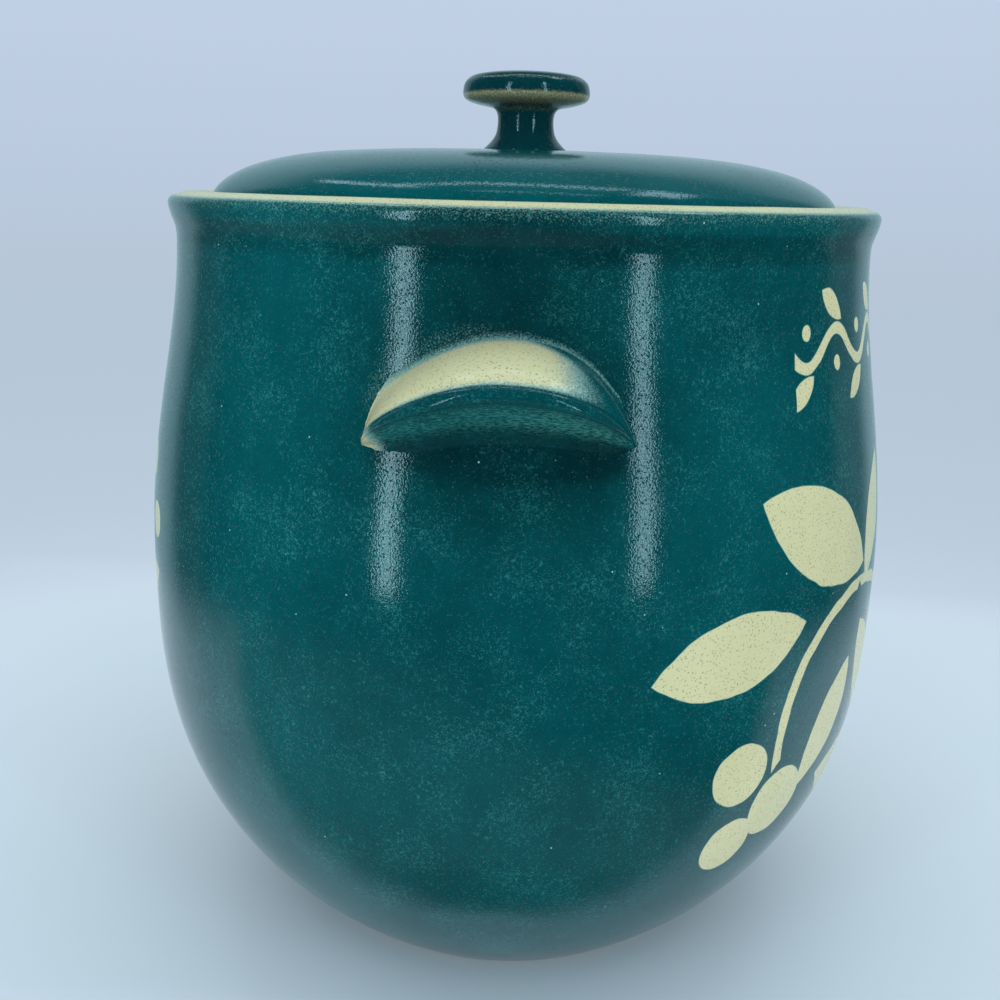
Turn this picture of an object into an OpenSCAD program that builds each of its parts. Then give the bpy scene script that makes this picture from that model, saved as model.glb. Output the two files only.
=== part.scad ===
// Lidded stoneware fruit-preserving pot (rumtopf pot) with two lug handles.
// Millimetres. +Z is up, the pot's axis is Z and it stands on the plane z = 0.
// The handles lie on -X and +X. The pot and its lid are thrown, so their solids are turned outlines.

/* [Pot wall] */
// Height of the rim's crest above the surface that the pot stands on
pot_h = 224; // [200:1:260]
// Outer radius at the belly, where the pot is widest
belly_r = 114.5; // [112:0.5:130]
// Height of the belly
belly_z = 113; // [90:1:125]
// Outer radius of the foot
foot_r = 66.5; // [55:0.5:80]
// Outer radius of the neck, just under the rim
neck_r = 103.4; // [101:0.1:110]
// Thickness of the wall, measured level
wall_t = 7; // [5:0.5:9]
// How round the wall is between foot and belly: 2 is a plain bowl, more is fuller
lower_curve = 2.8; // [2.2:0.1:3.4]
// How late the shoulder draws in: 1 is an even S-curve, more keeps the belly longer
shoulder_curve = 1.2; // [1:0.05:1.5]

/* [Floor and foot] */
// Thickness of the floor
floor_t = 8; // [6:0.5:12]
// Thickness of the corner between floor and wall, measured level
corner_t = 12; // [10:0.5:16]
// Width of the foot ring that the pot stands on
foot_w = 9; // [6:0.5:14]
// Depth of the hollow inside the foot ring
foot_recess = 2.5; // [1:0.5:5]
// Bevel along both edges of the foot ring
foot_bevel = 0.8; // [0.4:0.1:1.5]

/* [Rim and gallery] */
// Height of the rolled rim, from neck to crest
rim_h = 11; // [8:0.5:14]
// How far the rolled rim stands out from the neck
rim_roll = 1.9; // [1:0.1:4]
// Thickness of the rim, from its outer edge to the mouth
rim_t = 10.8; // [9:0.1:13]
// Height of the rim's rounding, from its widest line to the crest
crest_h = 4.5; // [3:0.5:6]
// Distance of the crest from the rim's outer edge
crest_in = 5.3; // [4:0.1:6]
// Depth of the gallery, the ledge that carries the lid, below the crest
gallery_drop = 7; // [6:0.5:10]
// Width of the gallery
gallery_w = 9; // [7:0.5:12]
// Thickness of the gallery at its inner edge
gallery_t = 4; // [3:0.5:6]
// Height of the slope under the gallery
gallery_haunch = 10; // [8:0.5:14]

/* [Lid] */
// Gap around the lid inside the mouth
lid_gap = 1.8; // [1:0.1:4]
// Thickness of the lid's edge, where it lies on the gallery
lid_edge_t = 6; // [4:0.5:8]
// Thickness of the lid's domed plate, measured upright
lid_t = 6; // [4:0.5:8]
// Height of the lid's rounded shoulder
lid_shoulder = 12.9; // [8:0.1:20]
// Extra rise of the lid from its shoulder to its middle
lid_crown = 2.1; // [1:0.1:8]
// Gap between the locating collar and the gallery
collar_gap = 1.5; // [0.8:0.1:2.5]
// Depth of the locating collar below the gallery's face
collar_h = 9; // [6:0.5:14]
// Thickness of the locating collar
collar_t = 5; // [4:0.5:7]

/* [Knob] */
// Radius of the knob's disc
knob_r = 19; // [16:0.2:24]
// Height of the knob above its seat on the lid
knob_h = 22.4; // [19:0.1:28]
// Radius of the knob's foot
knob_foot_r = 13; // [11:0.2:15]
// Height of the flare at the knob's foot
knob_foot_h = 6.5; // [3:0.5:7]
// Radius of the stem
stem_r = 8.4; // [7:0.1:10]
// Height of the disc, from its lower edge to its crown
disc_h = 9.8; // [7:0.1:11]
// Rise of the cone under the disc
disc_under_h = 1.7; // [1:0.1:3]
// Height of the disc's rounded rim below its crown
disc_crown_h = 3.2; // [2:0.1:4]
// Size of the hollow fillet between stem and disc
disc_fillet = 1.9; // [1:0.1:3]

/* [Handles] */
// Width of each handle along the wall
lug_w = 62; // [50:1:80]
// How far each handle reaches out from the wall
lug_out = 22; // [16:1:30]
// Height of each handle's root on the wall
lug_h = 26.5; // [20:0.5:34]
// Distance from the rim's crest down to the top of the root
lug_drop = 28.5; // [22:0.5:45]
// Drop from the top of the root to the crest of the lip
lug_fall = 7.7; // [4:0.1:12]
// Thickness of the lip
lug_lip_t = 5.2; // [4:0.1:7]
// Rise of the finger hollow above a straight underside
lug_scoop = 4; // [1:0.5:6]

/* [Hidden] */

$fn = 120;
glaze_colour = [0.02, 0.31, 0.32];
cream_colour = [0.78, 0.81, 0.66];
knob_colour = [0.01, 0.18, 0.21];

neck_z = pot_h - rim_h;
rim_r = neck_r + rim_roll;
crest_r = rim_r - crest_in;
crest_z = pot_h - crest_h;
mouth_r = rim_r - rim_t;
gallery_z = pot_h - gallery_drop;
gallery_r = mouth_r - gallery_w;
haunch_z = gallery_z - gallery_t - gallery_haunch;
floor_z = foot_recess + floor_t;

lid_r = mouth_r - lid_gap;
lid_edge_z = gallery_z + lid_edge_t;
lid_bevel = 1.2;
// The dome is flat in the middle and drops at the edge: more makes its shoulder squarer
dome_power = 5.3;
shoulder_power = 0.66;
collar_r = gallery_r - collar_gap;
collar_inner_r = collar_r - collar_t;
collar_z = gallery_z - collar_h;
collar_bevel = 1;

knob_z = lid_top_z(knob_foot_r);
knob_top_z = knob_z + knob_h;
disc_z = knob_top_z - disc_h;
disc_crown_z = knob_top_z - disc_crown_h;
disc_edge_r = 1.6;
disc_edge_z = disc_z + disc_under_h + disc_edge_r;
stem_top_z = disc_z - disc_fillet;

lug_top_z = pot_h - lug_drop;
lug_bottom_z = lug_top_z - lug_h;
lug_angle = lug_w / 2 / outer_r(lug_top_z) * 180 / PI;
lug_lip_z = lug_top_z - lug_fall;
lug_lip_r = lug_lip_t / 2;
// Depth to which a handle's solid runs into the wall before it is trimmed to the wall's face
lug_sink = 1.5;
// How a handle draws in towards its ends: in reach, in the height of its root and of its lip
lug_reach_power = 0.8;
lug_root_power = 0.5;
lug_lip_power = 0.9;
// Size of the sections at a handle's two ends, inside the wall, as a share of the middle one
lug_end = 0.03;
lug_sections = 40;
lug_face_steps = 7;
lug_lip_steps = 6;

wall_steps = 12;
shoulder_steps = 12;
round_steps = 6;
dome_steps = 14;

// An S-curve from 0 to 1 that starts and ends level
function smooth(t) = t * t * (3 - 2 * t);

// Points along part of an ellipse, from angle a to angle b
function arc(centre, half_w, half_h, a, b, steps) =
    [for (i = [0:steps]) let (t = a + (b - a) * i / steps)
        [centre[0] + half_w * cos(t), centre[1] + half_h * sin(t)]];

// Points along a curve that leaves p for q and arrives at r
function bend(p, q, r, steps) =
    [for (i = [0:steps]) let (t = i / steps) p * (1 - t) ^ 2 + q * 2 * t * (1 - t) + r * t ^ 2];

// Radius of the pot's outer face at height z, between foot and neck
function outer_r(z) = z < belly_z
    ? belly_r - (belly_r - foot_r) * ((belly_z - z) / belly_z) ^ lower_curve
    : belly_r - (belly_r - neck_r) * smooth(((z - belly_z) / (neck_z - belly_z)) ^ shoulder_curve);

// Radius of the pot's inner face at height z, between floor and neck
function inner_r(z) = z < belly_z
    ? belly_r - wall_t - (belly_r - wall_t - outer_r(floor_z) + corner_t)
        * ((belly_z - z) / (belly_z - floor_z)) ^ lower_curve
    : outer_r(z) - wall_t;

// Heights from a up to b, a little closer together near a
function heights(a, b, steps) = [for (i = [0:steps]) a + (b - a) * (i / steps) ^ 1.2];

// The pot's outer outline, from the foot up to the widest line of the rim
outer_line = concat(
    [[foot_r - foot_bevel, 0]],
    [for (z = heights(foot_bevel, belly_z, wall_steps)) [outer_r(z), z]],
    [for (i = [1:shoulder_steps])
        let (z = belly_z + (neck_z - belly_z) * i / shoulder_steps) [outer_r(z), z]],
    [for (i = [1:round_steps])
        let (t = i / round_steps) [neck_r + rim_roll * smooth(t), neck_z + (crest_z - neck_z) * t]]);

// The rim's rounding, from its outer edge over the crest to the mouth
rim_line = concat(
    arc([crest_r, crest_z], crest_in, crest_h, 15, 90, round_steps),
    arc([crest_r, crest_z], crest_r - mouth_r, crest_h, 105, 180, round_steps - 1));

// The inside, from the gallery down to the middle of the floor
inner_line = concat(
    [[mouth_r, gallery_z], [gallery_r, gallery_z], [gallery_r, gallery_z - gallery_t]],
    [for (i = [0:shoulder_steps])
        let (z = haunch_z + (belly_z - haunch_z) * i / shoulder_steps) [inner_r(z), z]],
    [for (i = [1:wall_steps])
        let (z = heights(floor_z, belly_z, wall_steps)[wall_steps - i]) [inner_r(z), z]],
    [[0, floor_z]]);

// The underside, from the axis out to the foot ring
foot_line = [
    [0, foot_recess],
    [foot_r - foot_w - foot_recess, foot_recess],
    [foot_r - foot_w, foot_bevel],
    [foot_r - foot_w + foot_bevel, 0]];

// The lid's upper face at radius r
function lid_top_z(r) =
    lid_edge_z + lid_shoulder * (1 - (r / lid_r) ^ dome_power) ^ shoulder_power
    + lid_crown * (1 - r / lid_r);

// Radii from a out to b, closer together near b
function radii(a, b, steps) = [for (i = [0:steps]) a + (b - a) * sin(90 * i / steps)];

lid_outline = concat(
    [[0, knob_z]],
    [for (r = radii(knob_foot_r, lid_r, dome_steps)) [r, lid_top_z(r)]],
    [[lid_r, gallery_z + lid_bevel], [lid_r - lid_bevel, gallery_z], [collar_r, gallery_z]],
    [[collar_r, collar_z + collar_bevel], [collar_r - collar_bevel, collar_z]],
    [[collar_inner_r + collar_bevel, collar_z], [collar_inner_r, collar_z + collar_bevel]],
    [for (i = [0:dome_steps - 1])
        let (r = collar_inner_r * cos(90 * i / dome_steps)) [r, lid_top_z(r) - lid_t]],
    [[0, knob_z - lid_t]]);

knob_outline = concat(
    [[0, knob_z]],
    arc([knob_foot_r, knob_z + knob_foot_h], knob_foot_r - stem_r, knob_foot_h, 270, 180, round_steps),
    arc([stem_r + disc_fillet, stem_top_z], disc_fillet, disc_fillet, 180, 90, round_steps),
    arc([knob_r - disc_edge_r, disc_edge_z], disc_edge_r, disc_edge_r, -60, 0, round_steps),
    bend([knob_r, disc_crown_z], [knob_r - 1, knob_top_z - 0.4], [0, knob_top_z], dome_steps));

// A handle's outline in its middle, as [distance out from the wall, height], from the top of its
// root along the upper face, round the lip and back along the finger hollow
lug_outline = concat(
    bend([0, lug_top_z], [lug_out - 3 * lug_lip_r, lug_top_z - lug_fall / 4],
        [lug_out - lug_lip_r, lug_lip_z], lug_face_steps),
    arc([lug_out - lug_lip_r, lug_lip_z - lug_lip_r], lug_lip_r, lug_lip_r, 75, -75, lug_lip_steps),
    bend([lug_out - lug_lip_r, lug_lip_z - lug_lip_t],
        [lug_out / 2, (lug_lip_z - lug_lip_t + lug_bottom_z) / 2 + lug_scoop],
        [0, lug_bottom_z], lug_face_steps));

// The same outline at s, from -1 at one end of the handle to 1 at the other: it draws in and sinks
function lug_section(s) = let (e = max(lug_end, 1 - s * s)) concat(
    [[-lug_sink * 2, lug_bottom_z + lug_h * e ^ lug_root_power]],
    [for (p = lug_outline)
        let (power = lug_root_power + (lug_lip_power - lug_root_power) * p[0] / lug_out)
        [(p[0] + lug_sink) * e ^ lug_reach_power - lug_sink,
            lug_bottom_z + (p[1] - lug_bottom_z) * e ^ power]],
    [[-lug_sink * 2, lug_bottom_z]]);

// A point [distance out, height] of the section at s, placed on the wall on the -X side
function on_wall(p, s) = let (r = outer_r(p[1]) + p[0], a = s * lug_angle)
    [-r * cos(a), r * sin(a), p[1]];

module turned(outline) {
    rotate_extrude(convexity = 6) polygon(outline);
}

// The pot's outer shape with no hollow in it
module pot_outside() {
    turned(concat([[0, 0]], outer_line, [[0, crest_z]]));
}

// One handle on -X, trimmed to the face of the wall
module lug() {
    ring = len(lug_section(0));
    last = lug_sections;
    points = [for (i = [0:last]) let (s = 2 * i / last - 1)
        each [for (p = lug_section(s)) on_wall(p, s)]];
    skin = [for (i = [0:last - 1]) for (j = [0:ring - 1]) let (k = (j + 1) % ring) each [
        [i * ring + j, i * ring + k, (i + 1) * ring + k],
        [i * ring + j, (i + 1) * ring + k, (i + 1) * ring + j]]];
    first_end = [for (j = [ring - 1:-1:0]) j];
    last_end = [for (j = [0:ring - 1]) last * ring + j];
    difference() {
        polyhedron(points, concat(skin, [first_end, last_end]), convexity = 6);
        pot_outside();
    }
}

module pot_body() {
    color(glaze_colour) turned(concat(outer_line, rim_line, inner_line, foot_line));
}

module handle_left() {
    color(cream_colour) lug();
}

module handle_right() {
    color(cream_colour) rotate(180) lug();
}

module lid() {
    color(glaze_colour) turned(lid_outline);
}

module lid_knob() {
    color(knob_colour) turned(knob_outline);
}

pot_body();
handle_left();
handle_right();
lid();
lid_knob();
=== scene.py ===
import math

import bpy
from mathutils import Matrix, Vector


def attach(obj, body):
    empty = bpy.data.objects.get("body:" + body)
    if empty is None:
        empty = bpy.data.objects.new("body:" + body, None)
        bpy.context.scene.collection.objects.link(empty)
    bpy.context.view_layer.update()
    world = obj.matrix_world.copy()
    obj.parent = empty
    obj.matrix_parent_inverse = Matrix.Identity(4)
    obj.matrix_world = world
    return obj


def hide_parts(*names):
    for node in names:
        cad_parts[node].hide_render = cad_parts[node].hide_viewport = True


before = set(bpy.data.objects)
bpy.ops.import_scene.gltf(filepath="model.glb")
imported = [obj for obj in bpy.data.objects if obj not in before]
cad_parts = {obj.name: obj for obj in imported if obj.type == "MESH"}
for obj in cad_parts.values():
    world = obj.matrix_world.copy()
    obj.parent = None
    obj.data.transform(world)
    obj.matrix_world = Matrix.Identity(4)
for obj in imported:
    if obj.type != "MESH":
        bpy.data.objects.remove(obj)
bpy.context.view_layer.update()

# Looks of a lidded stoneware pot: thrown pieces, dipped glazes, a pale table and soft light.
# Sizes in millimetres, as in the pot's own drawing

BELLY_R = 114.5
BELLY_Z = 113.0
FOOT_R = 66.5
FOOT_W = 9.0
FOOT_RECESS = 2.5
NECK_R = 103.4
NECK_Z = 213.0
WALL_T = 7.0
FLOOR_Z = 10.5
CORNER_T = 12.0
CREST_R = 100.0
CREST_Z = 219.5
CREST_H = 4.5
RIM_Z = 220.6
MOUTH_R = 94.5
GALLERY_Z = 217.0
GALLERY_R = 85.5
HAUNCH_Z = 203.0

LID_R = 92.7
LID_EDGE_Z = 223.0
LID_SHOULDER = 12.9
LID_CROWN = 2.1
LID_T = 6.0
COLLAR_R = 84.0
COLLAR_INNER_R = 79.0
COLLAR_Z = 208.0

KNOB_R = 19.0
KNOB_FOOT_R = 12.0
KNOB_H = 22.4
STEM_R = 8.4

LUG_OUT = 22.0
LUG_TOP_Z = 195.5
LUG_BOTTOM_Z = 169.0
LUG_LIP_Z = 187.8
LUG_LIP_R = 2.3
LUG_SCOOP = 4.0
LUG_HALF_W = 31.0
LUG_H = LUG_TOP_Z - LUG_BOTTOM_Z
LUG_COLUMNS = 150

# Steps round the axis: about 2 mm of wall between two of them at the belly
WHEEL_STEPS = 352

MM = 0.001


# Outlines

def smooth(t):
    """An S-curve from 0 to 1 that starts and ends level."""
    t = min(1.0, max(0.0, t))
    return t * t * (3 - 2 * t)


def outer_r(z):
    """Radius of the pot's outer face at height z."""
    if z < BELLY_Z:
        return BELLY_R - (BELLY_R - FOOT_R) * ((BELLY_Z - max(z, 0)) / BELLY_Z) ** 2.8
    return BELLY_R - (BELLY_R - NECK_R) * smooth(((z - BELLY_Z) / (NECK_Z - BELLY_Z)) ** 1.2)


def inner_r(z):
    """Radius of the pot's inner face at height z."""
    if z < BELLY_Z:
        corner = BELLY_R - WALL_T - outer_r(FLOOR_Z) + CORNER_T
        return BELLY_R - WALL_T - corner * ((BELLY_Z - z) / (BELLY_Z - FLOOR_Z)) ** 2.8
    return outer_r(z) - WALL_T


def lid_top_z(r):
    """Height of the lid's upper face at radius r."""
    shoulder = max(0.0, 1 - (r / LID_R) ** 5.3) ** 0.66
    return LID_EDGE_Z + LID_SHOULDER * shoulder + LID_CROWN * (1 - r / LID_R)


def arc(centre, half_w, half_h, first, last, steps):
    """Points along part of an ellipse, between two angles in degrees."""
    angles = [math.radians(first + (last - first) * i / steps) for i in range(steps + 1)]
    return [(centre[0] + half_w * math.cos(a), centre[1] + half_h * math.sin(a)) for a in angles]


def bend(p, q, r, steps):
    """Points along a curve that leaves p for q and arrives at r."""
    points = []
    for i in range(steps + 1):
        t = i / steps
        a, b, c = (1 - t) ** 2, 2 * t * (1 - t), t * t
        points.append((p[0] * a + q[0] * b + r[0] * c, p[1] * a + q[1] * b + r[1] * c))
    return points


def even(points, spacing):
    """The same line with its points about one spacing apart."""
    lengths = [0.0]
    for (r0, z0), (r1, z1) in zip(points, points[1:]):
        lengths.append(lengths[-1] + math.hypot(r1 - r0, z1 - z0))
    count = max(1, round(lengths[-1] / spacing))
    line, k = [], 0
    for i in range(count + 1):
        at = lengths[-1] * i / count
        while k < len(points) - 2 and lengths[k + 1] < at:
            k += 1
        t = (at - lengths[k]) / max(1e-9, lengths[k + 1] - lengths[k])
        line.append(tuple(a + (b - a) * t for a, b in zip(points[k], points[k + 1])))
    return line


def joined(*lines):
    """Lines end to end, with no point twice."""
    points = []
    for line in lines:
        for p in line:
            if not points or math.dist(points[-1], p) > 0.02:
                points.append(p)
    return points


def through(points, steps):
    """A soft curve through the points."""
    ends = [points[0]] + points + [points[-1]]
    line = []
    for a, b, c, d in zip(ends, ends[1:], ends[2:], ends[3:]):
        for i in range(steps):
            t = i / steps
            line.append(tuple(
                0.5 * (2 * q + (r - p) * t + (2 * p - 5 * q + 4 * r - s) * t * t
                       + (3 * q - p - 3 * r + s) * t ** 3)
                for p, q, r, s in zip(a, b, c, d)))
    return line + [points[-1]]


# Shaping

def deselect():
    """Nothing selected, so that the next operator acts on what it makes."""
    bpy.ops.object.select_all(action="DESELECT")


def take_up(piece):
    """Selects one piece alone and makes it the active one."""
    deselect()
    piece.select_set(True)
    bpy.context.view_layer.objects.active = piece


def thrown(name, outline, steps=WHEEL_STEPS):
    """Turns an outline of (radius, height) points round the axis, as the wheel does."""
    deselect()
    r, z = outline[0]
    bpy.ops.mesh.primitive_plane_add(size=1 * MM, location=(r * MM, 0, z * MM))
    piece = bpy.context.object
    piece.name = piece.data.name = name
    bpy.ops.object.transform_apply(location=True, rotation=True, scale=True)
    bpy.ops.object.mode_set(mode="EDIT")
    bpy.ops.mesh.select_mode(type="VERT")
    bpy.ops.mesh.select_all(action="SELECT")
    bpy.ops.mesh.merge(type="CENTER")
    for (r0, z0), (r1, z1) in zip(outline, outline[1:]):
        step = ((r1 - r0) * MM, 0, (z1 - z0) * MM)
        bpy.ops.mesh.extrude_vertices_move(TRANSFORM_OT_translate={"value": step})
    # An eighth of the turn is spun, then doubled three times, which is much quicker
    turn = math.tau / 8
    bpy.ops.mesh.select_all(action="SELECT")
    bpy.ops.mesh.spin(steps=steps // 8, angle=turn, center=(0, 0, 0), axis=(0, 0, 1))
    for times in (1, 2, 4):
        bpy.ops.mesh.select_all(action="SELECT")
        bpy.ops.mesh.duplicate()
        bpy.ops.transform.rotate(value=turn * times, orient_axis="Z",
                                 center_override=(0, 0, 0))
    bpy.ops.mesh.select_all(action="SELECT")
    bpy.ops.mesh.remove_doubles(threshold=0.01 * MM)
    bpy.ops.mesh.normals_make_consistent(inside=False)
    bpy.ops.object.mode_set(mode="OBJECT")
    bpy.ops.object.shade_smooth()
    return piece


def uneven(piece, amount, size):
    """Hand-made unevenness: the surface sinks by up to amount, over patches of that size."""
    texture = bpy.data.textures.new(piece.name + "_clay", "CLOUDS")
    texture.noise_scale = size * MM
    texture.noise_depth = 1
    take_up(piece)
    press = piece.modifiers.new("clay", "DISPLACE")
    press.texture = texture
    press.texture_coords = "LOCAL"
    press.strength = amount * MM
    press.mid_level = 1.0
    bpy.ops.object.modifier_apply(modifier=press.name)


def mark(piece, name, value):
    """Stores value(x, y, z), in millimetres, on every point of the piece."""
    layer = piece.data.attributes.new(name, "FLOAT", "POINT")
    layer.data.foreach_set("value", [value(*(v.co / MM)) for v in piece.data.vertices])


# Pot wall

# The rim's roll: straight neck, a soft hollow, then out to the widest line
RIM_BAND = through([
    (103.42, 209.4), (103.38, 211.2), (103.42, 212.7), (103.62, 214.1), (104.00, 215.4),
    (104.46, 216.8), (104.88, 218.2), (105.18, 219.5), (105.30, 220.6),
], 3)

under_line = joined(
    even([(0, FOOT_RECESS), (FOOT_R - FOOT_W - 3.2, FOOT_RECESS)], 5.0),
    bend((FOOT_R - FOOT_W - 3.2, FOOT_RECESS), (FOOT_R - FOOT_W, FOOT_RECESS),
         (FOOT_R - FOOT_W + 0.6, 0), 5),
    even([(FOOT_R - FOOT_W + 0.6, 0), (FOOT_R - 1.0, 0)], 2.0),
    arc((FOOT_R - 1.0, 1.0), 1.0, 1.0, -90, -10, 4))
wall_line = even([(outer_r(z / 10), z / 10) for z in range(14, 2090)], 1.75)
crest_line = joined(
    arc((102.5, RIM_Z), 2.8, 2.5, 6, 75, 9),
    bend((102.6, RIM_Z + 2.55), (101.4, CREST_Z + CREST_H), (99.4, CREST_Z + CREST_H), 5),
    arc((98.9, CREST_Z), 98.9 - MOUTH_R, CREST_H, 90, 180, 9))
seat_line = joined(
    [(MOUTH_R, CREST_Z - 1), (MOUTH_R, GALLERY_Z + 0.8)],
    arc((MOUTH_R - 0.8, GALLERY_Z + 0.8), 0.8, 0.8, 0, -90, 3),
    even([(MOUTH_R - 0.8, GALLERY_Z), (GALLERY_R + 0.8, GALLERY_Z)], 2.6),
    arc((GALLERY_R + 0.8, GALLERY_Z - 0.8), 0.8, 0.8, 90, 180, 3),
    [(GALLERY_R, 214.8), (GALLERY_R, 213.4)],
    bend((GALLERY_R, 213.0), (GALLERY_R + 0.6, 208.0), (inner_r(HAUNCH_Z), HAUNCH_Z), 5))
inside_line = even([(inner_r(z), z) for z in range(int(HAUNCH_Z), int(FLOOR_Z), -1)], 5.0)
floor_line = even([(inner_r(FLOOR_Z), FLOOR_Z), (0, FLOOR_Z)], 6.0)

pot_wall = thrown("pot_wall", joined(
    under_line, wall_line, RIM_BAND, crest_line, seat_line, inside_line, floor_line))
uneven(pot_wall, 0.22, 28.0)

# Half the angle that a handle covers, in radians
LUG_ANGLE = LUG_HALF_W / outer_r(LUG_TOP_Z)


def wall_thin(x, y, z):
    """1 where the slip shows: over the crest and inside. A hint of it lies round each handle."""
    r = math.hypot(x, y)
    if r < outer_r(z) - 2.4 and z < CREST_Z:
        return 1.0 if z > 3 else 0.0
    if r < CREST_R + 1.5 and z > GALLERY_Z - 1:
        return 1.0
    if z > 200:
        return 0.2 * smooth((z - 217) / 5.5) + 0.8 * smooth((z - 222.0) / 1.3)
    s = math.atan2(-y if x < 0 else y, abs(x)) / LUG_ANGLE
    above = z - LUG_BOTTOM_Z - LUG_H * max(0.0, 1 - (s / 1.08) ** 2) ** 0.42
    share = smooth((s + 1.14) / 0.2) * smooth((0.35 - s) / 0.6) * smooth((z - 172) / 8)
    return 0.16 * share * smooth((4.5 - above) / 4)


def wall_clay(x, y, z):
    """1 where the fired clay is bare: on the foot ring, wiped before firing."""
    r = math.hypot(x, y)
    return smooth((2.6 - z) / 0.8) if r > FOOT_R - FOOT_W - 1.5 else 0.0


def wall_thick_and_shade(x, y, z):
    """How thick the teal lies, from 0 to 1, which darkens it: darker under the neck on the -X side
    between the strips' glints and lighter to either side, with painted shade under each handle and in
    the hollow under the rim's roll.
    """
    turn = math.degrees(math.atan2(-y, -x))
    # Darker teal under the neck on the -X side, lighter at about 32 degrees to either side
    front_darkening = math.exp(-((turn - 1) / 14) ** 2) * smooth((z - 138) / 36)
    left = math.exp(-((turn + 32) / 13) ** 2)
    right = math.exp(-((turn - 34) / 12) ** 2) * smooth((z - 88) / 30) * smooth((198 - z) / 20)
    # Painted shade below each handle, where glaze gathers too
    s = math.atan2(-y, abs(x)) / LUG_ANGLE
    under = math.exp(-((z - LUG_BOTTOM_Z + 2) / 4) ** 2) * smooth((1.05 - abs(s)) / 0.3)
    # And painted shade in the hollow under the rim's roll
    roll = smooth((z - 209) / 3) * smooth((218.5 - z) / 2)
    flow = 0.42 + 0.55 * front_darkening + 0.5 * under + 0.32 * roll - 0.3 * left - 0.22 * right
    return min(1.0, max(0.0, flow))


mark(pot_wall, "thin", wall_thin)
mark(pot_wall, "clay", wall_clay)
mark(pot_wall, "drag", lambda x, y, z: 0.0)
mark(pot_wall, "thick", wall_thick_and_shade)

# Handles

# Rows of points on its upper face, round its lip and in its finger hollow
TOP_ROWS = 26
LIP_ROWS = 12
HOLLOW_ROWS = 25
lug_outline = joined(
    bend((0, LUG_TOP_Z), (LUG_OUT - 3 * LUG_LIP_R, LUG_TOP_Z - 1.925),
         (LUG_OUT - LUG_LIP_R, LUG_LIP_Z), TOP_ROWS),
    arc((LUG_OUT - LUG_LIP_R, LUG_LIP_Z - LUG_LIP_R), LUG_LIP_R, LUG_LIP_R, 80, -80, LIP_ROWS),
    bend((LUG_OUT - LUG_LIP_R, LUG_LIP_Z - 2 * LUG_LIP_R),
         (LUG_OUT / 2, (LUG_LIP_Z - 2 * LUG_LIP_R + LUG_BOTTOM_Z) / 2 + LUG_SCOOP),
         (0, LUG_BOTTOM_Z), HOLLOW_ROWS))
LUG_ROWS = len(lug_outline) - 1


def lug_point(s, row):
    """Point of a handle at s, from -1 at its left end to 1 at its right, and at an outline row."""
    out, z = lug_outline[row]
    e = max(0.002, 1 - s * s)
    # Towards its ends the finger hollow fills up, so that they are solid and blunt
    below = min(1.0, (row - TOP_ROWS - LIP_ROWS) / HOLLOW_ROWS)
    if below > 0:
        solid = (LUG_OUT - LUG_LIP_R) * (1 - below ** 3)
        out += (solid - out) * smooth((abs(s) - 0.7) / 0.25)
    lip = out / LUG_OUT
    power = 0.55 + 0.19 * s + (0.22 - 0.11 * s) * lip
    reach = (out + 1.5) * max(0.006, 1 - abs(s) ** 2.8) ** 0.72 - 1.5
    # The lower root arches a little and droops to the left, and its corners are rounded
    end = max(0.0, abs(s) - 0.87) / 0.13
    bottom = LUG_BOTTOM_Z + 2.4 * e ** 1.5
    bottom += (2.2 + 0.8 * s) * (1 - math.sqrt(max(0.0, 1 - end * end)))
    bottom -= 1.9 * smooth((-0.1 - s) / 0.75)
    height = bottom + (z - LUG_BOTTOM_Z) * (0.97 - 2.4 * e ** 1.5 / LUG_H) * e ** power
    # The lip hangs lower on one side than on the other
    height -= (0.45 + 0.8 * s) * lip * e ** 0.5
    lean = s + 0.08 * (1 - s * s)
    a = lean * LUG_ANGLE
    r = outer_r(height) + reach
    # The left end faces +Y on the -X side, so s runs against Y there
    return Vector((-r * math.cos(a), -r * math.sin(a), height)), reach


def shaped_lug(name):
    """One handle on the -X side: a pulled strip of clay, bent, scooped and luted on the wall."""
    deselect()
    bpy.ops.mesh.primitive_grid_add(x_subdivisions=LUG_COLUMNS, y_subdivisions=LUG_ROWS, size=2)
    piece = bpy.context.object
    piece.name = piece.data.name = name
    places, reaches = {}, {}
    for v in piece.data.vertices:
        row = round((v.co.y + 1) / 2 * LUG_ROWS)
        s = v.co.x
        places[v.index] = (s, row)
        point, reaches[v.index] = lug_point(s, row)
        v.co = point * MM
    piece.data.update()
    take_up(piece)
    bpy.ops.object.mode_set(mode="EDIT")
    bpy.ops.mesh.select_all(action="SELECT")
    bpy.ops.mesh.normals_make_consistent(inside=False)
    bpy.ops.object.mode_set(mode="OBJECT")
    return piece, places, reaches


lug, lug_places, lug_reach = shaped_lug("lug_left")

# A soft joint: near the wall the clay spreads, as it does where a wet finger has run round it,
# more below than above
moves = {}
for v in lug.data.vertices:
    w = lug_reach[v.index]
    tip = smooth((abs(lug_places[v.index][0]) - 0.82) / 0.15)
    fillet = (1.6 + 1.2 * smooth(-v.normal.z / 0.7)) * (1 - 0.65 * tip)
    if w < fillet:
        gap = fillet - max(w, 0)
        spread = fillet - math.sqrt(max(0, fillet ** 2 - gap ** 2))
        radial = Vector((v.co.x, v.co.y, 0)).normalized()
        along = v.normal - radial * v.normal.dot(radial)
        moves[v.index] = along * spread * MM - radial * (0.35 * MM * (gap / fillet) ** 3)
for index, move in moves.items():
    lug.data.vertices[index].co += move


def fade(value, first, last):
    """Goes smoothly from 0 at first to 1 at last."""
    return smooth((value - first) / (last - first))


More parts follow.
